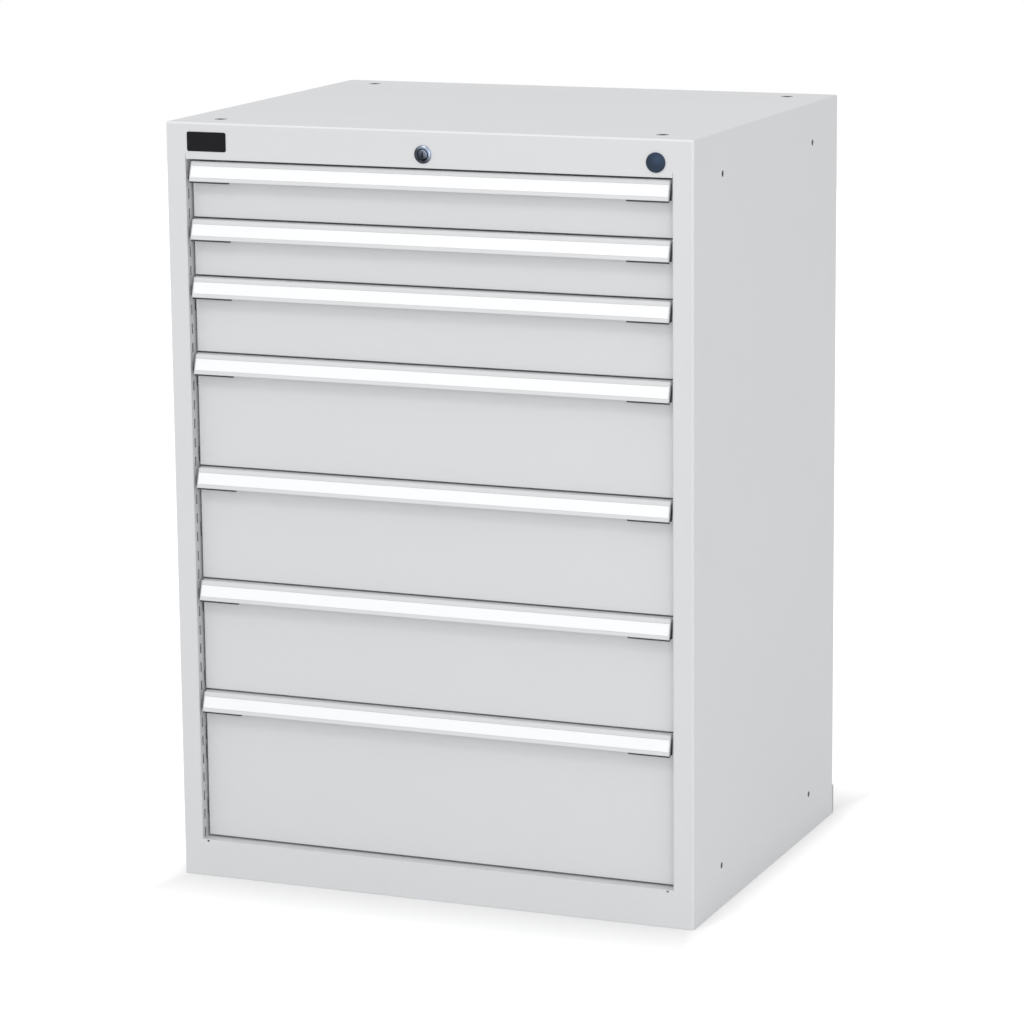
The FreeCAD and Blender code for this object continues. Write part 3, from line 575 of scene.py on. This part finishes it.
plug = {
    "radius": 0.0125,
    "proud": 0.003,
    "rimRound": 0.0012,
    "shoulder": 0.72,  # share of the height at which the dome begins
    "legReach": 0.0088,
    "legThick": 0.0014,
    "legWidth": 0.005,
    "sides": 64,
}


def plugCap():
    low, high = [Vector(corner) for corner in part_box("blanking_plug")]
    face = Vector(((low.x + high.x) / 2, low.y + plug["proud"], (low.z + high.z) / 2))
    roundness = plug["rimRound"]
    inner = plug["radius"] - roundness
    shoulder = plug["proud"] * plug["shoulder"]
    bulge = plug["proud"] - shoulder
    turns = [step * math.pi / 16 for step in range(1, 8)]
    dome = [(inner * math.cos(turn), shoulder + bulge * math.sin(turn)) for turn in turns]
    profile = [(0.0, 0.0), (plug["radius"], 0.0)]
    profile += arc((inner, shoulder - roundness), roundness, 0, 90, 6)
    profile += dome + [(0.0, plug["proud"])]
    shape = bmesh.new()
    turn(shape, profile, face, plug["sides"])
    deep = high.y
    half = plug["legWidth"] / 2
    reach, thick = plug["legReach"], plug["legThick"]
    for sign in (-1, 1):
        across = sorted([sign * reach, sign * (reach - thick)])
        bar(shape, (face.x + across[0], face.y, face.z - half), (face.x + across[1], deep, face.z + half))
        bar(shape, (face.x - half, face.y, face.z + across[0]), (face.x + half, deep, face.z + across[1]))
    finishPiece("plugCap", closeMesh(shape), "plug", "carcass", "slate_plastic", "blanking_plug")


# badge: a bare moulded plate with a fine raised border

badge = {
    "corner": 0.0025,
    "leastCorner": 0.0004,
    "border": 0.0007,
    "sunk": 0.00025,
    "edge": 0.0003,
    "cornerSteps": 6,
}


def roundedLoop(shape, low, high, y, inset, corner):
    # a rectangle with round corners in the front plane
    loop = []
    corners = [(high.x, high.z, 0), (low.x, high.z, 90), (low.x, low.z, 180), (high.x, low.z, 270)]
    radius = max(corner - inset, badge["leastCorner"])
    for x, z, start in corners:
        middleX = x - math.copysign(inset + radius, x - (low.x + high.x) / 2)
        middleZ = z - math.copysign(inset + radius, z - (low.z + high.z) / 2)
        for across, up in arc((middleX, middleZ), radius, start, start + 90, badge["cornerSteps"]):
            loop.append(shape.verts.new((across, y, up)))
    return loop


def badgePlate():
    low, high = [Vector(corner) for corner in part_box("badge_plate")]
    edge, border, sunk = badge["edge"], badge["border"], badge["sunk"]
    face = low.y
    shape = bmesh.new()
    steps = [(high.y, 0.0), (face + edge, 0.0), (face, edge), (face, border), (face + sunk, border + sunk)]
    loops = [roundedLoop(shape, low, high, y, inset, badge["corner"]) for y, inset in steps]
    for outer, inner in zip(loops, loops[1:]):
        for number in range(len(outer)):
            shape.faces.new((outer[number - 1], outer[number], inner[number], inner[number - 1]))
    shape.faces.new(loops[0])
    shape.faces.new(loops[-1])
    finishPiece("badgePlate", closeMesh(shape, 0.5), "badge", "carcass", "black_plastic", "badge_plate")


# drawer trays: folded sheet, its upright walls slotted for partitions

tray = {
    "sheet": 0.001,
    "hem": 0.008,
    "catchReach": 0.007,
    "memberReach": 0.0197,  # from the side wall to the outer lips of the runner member
    "slotWidth": 0.003,
    "slotPitch": 0.017,
    "slotMargin": 0.009,
    "floorSlotWidth": 0.0035,
    "floorSlotLength": 0.014,
    "floorPitch": 0.034,
    "floorMargin": 0.03,
}


def slottedPanelTree():
    # an upright sheet in the XY plane with a grid of slots, thick along +Z
    group = bpy.data.node_groups.new("slottedPanel", "GeometryNodeTree")
    face = group.interface
    sockets = {}
    kinds = [
        ("length", "Float"), ("height", "Float"), ("thickness", "Float"), ("slotWidth", "Float"),
        ("slotHeight", "Float"), ("columns", "Int"), ("rows", "Int"), ("columnPitch", "Float"),
        ("rowPitch", "Float"), ("finish", "Material"),
    ]
    for name, kind in kinds:
        sockets[name] = face.new_socket(name, in_out="INPUT", socket_type="NodeSocket" + kind)
    face.new_socket("panel", in_out="OUTPUT", socket_type="NodeSocketGeometry")
    tree = Tree(group)
    given = {name: tree.add("NodeGroupInput", None, None, number) for number, name in enumerate(sockets)}
    rectangle = "GeometryNodeCurvePrimitiveQuadrilateral"
    sheet = tree.add(rectangle, None, {"Width": given["length"], "Height": given["height"]})
    slot = tree.add(rectangle, None, {"Width": given["slotWidth"], "Height": given["slotHeight"]})
    grid = tree.add("GeometryNodeMeshGrid", None, {
        "Size X": (given["columns"] - 1.0) * given["columnPitch"],
        "Size Y": (given["rows"] - 1.0) * given["rowPitch"],
        "Vertices X": given["columns"], "Vertices Y": given["rows"],
    })
    slots = tree.add("GeometryNodeInstanceOnPoints", None, {"Points": grid, "Instance": slot})
    loose = tree.add("GeometryNodeRealizeInstances", None, {"Geometry": slots})
    outlines = tree.add("GeometryNodeJoinGeometry", None, {"Geometry": [sheet, loose]})
    filled = tree.add("GeometryNodeFillCurve", {"mode": "TRIANGLES"}, {"Curve": outlines})
    raised = tree.add("GeometryNodeExtrudeMesh", {"mode": "FACES"}, {
        "Mesh": filled, "Offset Scale": given["thickness"], "Individual": False,
    })
    back = tree.add("GeometryNodeFlipFaces", None, {"Mesh": filled})
    both = tree.add("GeometryNodeJoinGeometry", None, {"Geometry": [raised, back]})
    closed = tree.add("GeometryNodeMergeByDistance", None, {"Geometry": both, "Distance": 0.00001})
    made = tree.add("GeometryNodeRealizeInstances", None, {"Geometry": closed})
    dressed = tree.add("GeometryNodeSetMaterial", None, {"Geometry": made, "Material": given["finish"]})
    tree.add("NodeGroupOutput", None, {"panel": dressed})
    return group, sockets


def bake(group, sockets, values):
    # evaluates a node group with its inputs set and hands back the plain mesh
    carrier = bpy.data.objects.new("carrier", bpy.data.meshes.new("carrier"))
    bpy.context.scene.collection.objects.link(carrier)
    modifier = carrier.modifiers.new("repeat", "NODES")
    modifier.node_group = group
    for name, value in values.items():
        modifier[sockets[name].identifier] = value
    bpy.context.view_layer.update()
    mesh = bpy.data.meshes.new_from_object(carrier.evaluated_get(bpy.context.evaluated_depsgraph_get()))
    bpy.data.objects.remove(carrier)
    return mesh


def standPanel(shape, panel, centre, across, up, size, cuts):
    # adds a slotted panel at centre, its length and height along two directions and its sheet behind them
    length, height = size
    mesh = bake(*panel, {
        "length": length, "height": height, "thickness": tray["sheet"], "finish": finishes["inside"], **cuts,
    })
    turned = Matrix((Vector(across), Vector(up), Vector(across).cross(Vector(up)))).transposed().to_4x4()
    turned.translation = Vector(centre)
    mesh.transform(turned)
    shape.from_mesh(mesh)
    bpy.data.meshes.remove(mesh)


def wallCuts(length, height):
    columns = int((length - tray["slotMargin"] * 2) / tray["slotPitch"]) + 1
    return {
        "slotWidth": tray["slotWidth"], "slotHeight": height - tray["slotMargin"] * 2,
        "columns": columns, "rows": 1, "columnPitch": tray["slotPitch"], "rowPitch": 0.0,
    }


def floorCuts(width, length):
    pitch = tray["floorPitch"]
    return {
        "slotWidth": tray["floorSlotWidth"], "slotHeight": tray["floorSlotLength"],
        "columns": int((width - tray["floorMargin"] * 2) / pitch) + 1, "columnPitch": pitch,
        "rows": int((length - tray["floorMargin"] * 2) / pitch) + 1, "rowPitch": pitch,
    }


def drawerTray(number, panel):
    node = "drawer_tray_%d" % number
    low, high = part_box(node)
    sheet, hem = tray["sheet"], tray["hem"]
    side = high[0] - tray["memberReach"]
    front, rear = low[1], high[1] - tray["catchReach"]
    length, width = rear - front, side * 2
    upright = high[2] - low[2] - sheet
    middle = low[2] + sheet + upright / 2
    along = (front + rear) / 2
    shape = bmesh.new()
    inner = width - sheet * 2
    cuts = floorCuts(width, length)
    standPanel(shape, panel, (0, along, low[2]), (1, 0, 0), (0, 1, 0), (width, length), cuts)
    for sign in (-1, 1):
        centre = (sign * side, along, middle)
        cuts = wallCuts(length, upright)
        standPanel(shape, panel, centre, (0, -sign, 0), (0, 0, 1), (length, upright), cuts)
        edges = sorted([sign * (side - sheet), sign * (side - hem)])
        bar(shape, (edges[0], front + sheet, high[2] - sheet), (edges[1], rear - sheet, high[2]))
    for across, place in ((-1, front), (1, rear)):
        cuts = wallCuts(inner, upright)
        standPanel(shape, panel, (0, place, middle), (across, 0, 0), (0, 0, 1), (inner, upright), cuts)
    catch(shape, rear, low[2])
    mesh = closeMesh(shape, 0.5, weld=False)
    finishPiece("slottedTray_%d" % number, mesh, "inside", "drawer_%d" % number, "drawer_paint", node)


# runner members and catches, which are welded to the trays

member = {
    "sheet": 0.0015,
    "middle": 0.023,  # above the floor of the tray
    "half": 0.0164,
    "startGap": 0.003,
    "endGap": 0.014,
    "bend": 0.0005,
    "catchRise": 0.036,
    "catchLip": 0.005,
    "catchWidth": 0.02,
}


def catch(shape, rear, base):
    # hooked plate on the back of the tray, which the locking bar holds
    sheet = member["sheet"]
    end = rear + tray["catchReach"]
    up = base + member["catchRise"]
    outline = [
        (rear, up), (end - sheet, up), (end - sheet, up - member["catchLip"]), (end, up - member["catchLip"]),
        (end, up + sheet), (rear, up + sheet),
    ]
    half = member["catchWidth"] / 2
    faces = prism(shape, outline, "X", -half, half)
    softenEdges(shape, faces, (1, 0, 0), member["bend"])


def runnerMember(number):
    low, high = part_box("drawer_tray_%d" % number)
    sheet = member["sheet"]
    under = low[2] + member["middle"] - member["half"]
    over = low[2] + member["middle"] + member["half"]
    wall, tip = high[0] - tray["memberReach"], high[0]
    shape = bmesh.new()
    for sign in (-1, 1):
        outline = [
            (sign * wall, under), (sign * tip, under), (sign * tip, under + sheet),
            (sign * (wall + sheet), under + sheet), (sign * (wall + sheet), over - sheet),
            (sign * tip, over - sheet), (sign * tip, over), (sign * wall, over),
        ]
        faces = prism(shape, outline, "Y", low[1] + member["startGap"], high[1] - member["endGap"])
        softenEdges(shape, faces, (0, 1, 0), member["bend"])
    mesh = closeMesh(shape, 0.5, weld=False)
    finishPiece("runnerMembers_%d" % number, mesh, "zinc", "drawer_%d" % number, "zinc_sheet")


# handle ends: a thin painted plate over each end, the dark moulding behind it and its clip under the lip

handleEnd = {
    "lean": 17.0,
    "face": 0.0266,
    "plate": 0.0012,
    "deep": 0.0042,  # how far the plate reaches behind the leaning face
    "round": 0.0005,
    "clipFront": 0.0016,  # behind the tip of the lip
    "clipBack": 0.0042,
    "clipDrop": 0.0021,
    "clipHigh": 0.0002,
    "clipLong": 0.055,
    "clipHead": 0.0017,
    "headSquash": (1.3, 0.72, 0.66),
}


def handleEnds(number):
    node = "handle_end_caps_%d" % number
    low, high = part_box(node)
    lean = math.radians(handleEnd["lean"])
    tip = (low[1], high[2] - handleEnd["face"] * math.cos(lean))
    crest = (low[1] + handleEnd["face"] * math.sin(lean), high[2])
    deep = handleEnd["deep"] / math.cos(lean)
    top = (high[1] - tip[0] - deep) / math.tan(lean)  # where the leaning plate reaches the moulding's back
    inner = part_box("handle_%d" % number)[1][0]
    clipEnd = high[0] - handleEnd["clipLong"]
    plates = bmesh.new()
    clips = bmesh.new()
    for sign in (-1, 1):
        outline = [crest, tip, (tip[0] + deep, tip[1]), (crest[0] + deep, crest[1])]
        ends = (sign * inner, sign * (inner + handleEnd["plate"]))
        softenEdges(plates, prism(plates, outline, "X", *ends), (1, 0, 0), handleEnd["round"])
        outline = [(tip[0] + deep, tip[1]), (high[1], tip[1]), (high[1], tip[1] + top)]
        prism(clips, outline, "X", sign * inner, sign * high[0])
        front, back = tip[0] + handleEnd["clipFront"], tip[0] + handleEnd["clipBack"]
        under, over = tip[1] - handleEnd["clipDrop"], tip[1] + handleEnd["clipHigh"]
        outline = [(front, under), (back, under), (back, over), (front, over)]
        ends = (sign * clipEnd, sign * (inner + handleEnd["plate"]))
        softenEdges(clips, prism(clips, outline, "X", *ends), (1, 0, 0), handleEnd["round"])
        head = bmesh.ops.create_uvsphere(clips, u_segments=16, v_segments=9, radius=handleEnd["clipHead"])
        place = Matrix.Translation((sign * clipEnd, (front + back) / 2, (under + over) / 2))
        squash = Matrix.Diagonal((*handleEnd["headSquash"], 1.0))
        bmesh.ops.transform(clips, matrix=place @ squash, verts=head["verts"])
    body = "drawer_%d" % number
    finishPiece("handleEnds_%d" % number, closeMesh(plates, weld=False), "handle", body, "cap_plastic", node)
    finishPiece("endClips_%d" % number, closeMesh(clips, weld=False), "cap", body, "dark_plastic")


# rivets that hold the back panel to its flanges

rivet = {
    "radius": 0.0035,
    "rise": 0.0012,
    "sideInset": 0.0135,
    "low": 0.085,
    "pitch": 0.145,
    "sideCount": 7,
    "topDrop": 0.024,
    "topPitch": 0.125,
    "topCount": 5,
}


def rivetTree():
    # a row of low domed heads from a starting point
    group = bpy.data.node_groups.new("rivetRow", "GeometryNodeTree")
    kinds = [
        ("start", "Vector"), ("step", "Vector"), ("count", "Int"), ("radius", "Float"), ("squash", "Float"),
        ("finish", "Material"),
    ]
    sockets = {}
    for name, kind in kinds:
        sockets[name] = group.interface.new_socket(name, in_out="INPUT", socket_type="NodeSocket" + kind)
    group.interface.new_socket("row", in_out="OUTPUT", socket_type="NodeSocketGeometry")
    tree = Tree(group)
    given = {name: tree.add("NodeGroupInput", None, None, number) for number, name in enumerate(sockets)}
    line = tree.add("GeometryNodeMeshLine", {"mode": "OFFSET"}, {
        "Count": given["count"], "Start Location": given["start"], "Offset": given["step"],
    })
    ball = tree.add("GeometryNodeMeshUVSphere", None, {"Segments": 14, "Rings": 7, "Radius": given["radius"]})
    low = tree.add("ShaderNodeCombineXYZ", None, {0: 1.0, 1: given["squash"], 2: 1.0})
    head = tree.add("GeometryNodeTransform", None, {"Geometry": ball, "Scale": low})
    heads = tree.add("GeometryNodeInstanceOnPoints", None, {"Points": line, "Instance": head})
    made = tree.add("GeometryNodeRealizeInstances", None, {"Geometry": heads})
    dressed = tree.add("GeometryNodeSetMaterial", None, {"Geometry": made, "Material": given["finish"]})
    tree.add("NodeGroupOutput", None, {"row": dressed})
    return group, sockets


def backRivets():
    low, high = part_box("side_panel_left")
    row = rivetTree()
    shape = bmesh.new()
    half = -low[0]
    up = Vector((0, 0, rivet["pitch"]))
    aside = Vector((rivet["topPitch"], 0, 0))
    first = -rivet["topPitch"] * (rivet["topCount"] - 1) / 2
    lines = [
        ((rivet["sideInset"] - half, high[1], rivet["low"]), up, rivet["sideCount"]),
        ((half - rivet["sideInset"], high[1], rivet["low"]), up, rivet["sideCount"]),
        ((first, high[1], high[2] - rivet["topDrop"]), aside, rivet["topCount"]),
    ]
    for start, step, count in lines:
        mesh = bake(*row, {
            "start": start, "step": step, "count": count, "radius": rivet["radius"],
            "squash": rivet["rise"] / rivet["radius"], "finish": finishes["carcass"],
        })
        shape.from_mesh(mesh)
        bpy.data.meshes.remove(mesh)
    finishPiece("backRivets", closeMesh(shape, 0.9, weld=False), "carcass", "carcass", "carcass_paint")


lockRing()
lockBarrel()
plugCap()
badgePlate()
print("fittings made")

panelTree = slottedPanelTree()
for number in drawerNumbers:
    drawerTray(number, panelTree)
    runnerMember(number)
    handleEnds(number)
print("trays and handle ends made")
backRivets()
print("rivets made")


# studio

studio = {
    "floorSize": 14.0,
    "floorShade": 0.80,
    "floorLiftAndShadow": (0.15, 0.53),  # what a camera ray adds at the foot and away from it, where all is just white; the lower glow at the foot paints a contact shadow
    "floorFoot": (0.3485, 0.2895, 0.0),
    "floorShadowReach": (0.052, 0.185, 1.0),  # how far from the foot, aside and forwards, the painted shadow reaches before the lift is full
    "floorDrop": 0.0004,
    "ambient": 0.787,
    "lamps": {  # place, aim, size, watts
        "key": ((-0.75, -2.82, 3.47), (0.0, -0.3, 0.5), 0.8, 18.6),
        "front": ((2.6, -5.0, 1.2), (0.0, -0.05, 0.5), 3.0, 64.0),
    },
    "target": (-0.0029, 0.0015, 0.458),
    "azimuth": 22.378,
    "elevation": 11.7246,
    "distance": 5.3362,
    "roll": -0.5452,
    "lens": 140.1,
}


def makeFloor():
    side, low = studio["floorSize"] / 2, -studio["floorDrop"]
    mesh = bpy.data.meshes.new("studioFloor")
    corners = [(-side, -side, low), (side, -side, low), (side, side, low), (-side, side, low)]
    mesh.from_pydata(corners, [], [(0, 1, 2, 3)])
    floor = bpy.data.objects.new("studioFloor", mesh)
    bpy.context.scene.collection.objects.link(floor)
    material, tree = newFinish("studioFloorPaint")
    shade = studio["floorShade"]
    plain = tree.add("ShaderNodeBsdfDiffuse", None, {"Color": (shade, shade, shade, 1.0)})
    # camera rays see a white glow that fades towards the cabinet's foot: a painted contact shadow on top of
    # the real one
    outward = vectors(tree, "ABSOLUTE", tree.add("ShaderNodeTexCoord", None, None, 3))
    outward = vectors(tree, "SUBTRACT", outward, studio["floorFoot"])
    outward = vectors(tree, "DIVIDE", outward, studio["floorShadowReach"])
    clear = carryOver(tree, largest(tree, outward, "XY"), (0.0, 1.0), studio["floorLiftAndShadow"])
    glow = tree.add("ShaderNodeEmission", None, {"Color": (1.0, 1.0, 1.0, 1.0), "Strength": clear})
    lifted = tree.add("ShaderNodeAddShader", None, {0: plain, 1: glow})
    seen = seenRay(tree)
    closeFinish(tree, tree.add("ShaderNodeMixShader", None, {0: seen, 1: plain, 2: lifted}))
    mesh.materials.append(material)


def seenRay(tree):
    # 1 for what the camera sees straight, in a reflection or through something
    path = tree.add("ShaderNodeLightPath")
    outputs = path.socket.node.outputs
    glossy = Wire(tree, outputs["Is Glossy Ray"])
    through = Wire(tree, outputs["Is Transmission Ray"])
    return tree.add("ShaderNodeClamp", None, {0: path + glossy + through})


def makeWorld():
    world = bpy.data.worlds.new("studioWorld")
    world.use_nodes = True
    bpy.context.scene.world = world
    tree = Tree(world.node_tree)
    level = studio["ambient"]
    soft = tree.add("ShaderNodeBackground", None, {"Color": (level, level, level, 1.0)})
    white = tree.add("ShaderNodeBackground", None, {"Color": (1.0, 1.0, 1.0, 1.0)})
    both = tree.add("ShaderNodeMixShader", None, {0: seenRay(tree), 1: soft, 2: white})
    tree.add("ShaderNodeOutputWorld", None, {"Surface": both})


def makeLamps():
    for name, (place, aim, size, power) in studio["lamps"].items():
        data = bpy.data.lights.new(name + "Lamp", "AREA")
        data.shape = "SQUARE"
        data.size = size
        data.energy = power
        lamp = bpy.data.objects.new(name + "Lamp", data)
        lamp.location = place
        lamp.rotation_euler = (Vector(aim) - Vector(place)).to_track_quat("-Z", "Y").to_euler()
        bpy.context.scene.collection.objects.link(lamp)


def makeCamera():
    turn = math.radians(studio["azimuth"])
    rise = math.radians(studio["elevation"])
    back = Vector((math.sin(turn) * math.cos(rise), -math.cos(turn) * math.cos(rise), math.sin(rise)))
    data = bpy.data.cameras.new("camera")
    data.lens = studio["lens"]
    data.sensor_width = 36.0
    data.clip_end = 100.0
    camera = bpy.data.objects.new("camera", data)
    camera.location = Vector(studio["target"]) + back * studio["distance"]
    level = (-back).to_track_quat("-Z", "Y")
    camera.rotation_euler = (level @ Quaternion((0, 0, 1), math.radians(studio["roll"]))).to_euler()
    bpy.context.scene.collection.objects.link(camera)
    bpy.context.scene.camera = camera


makeFloor()
makeWorld()
makeLamps()
makeCamera()
bpy.context.scene.view_settings.view_transform = "Standard"
print("studio ready")
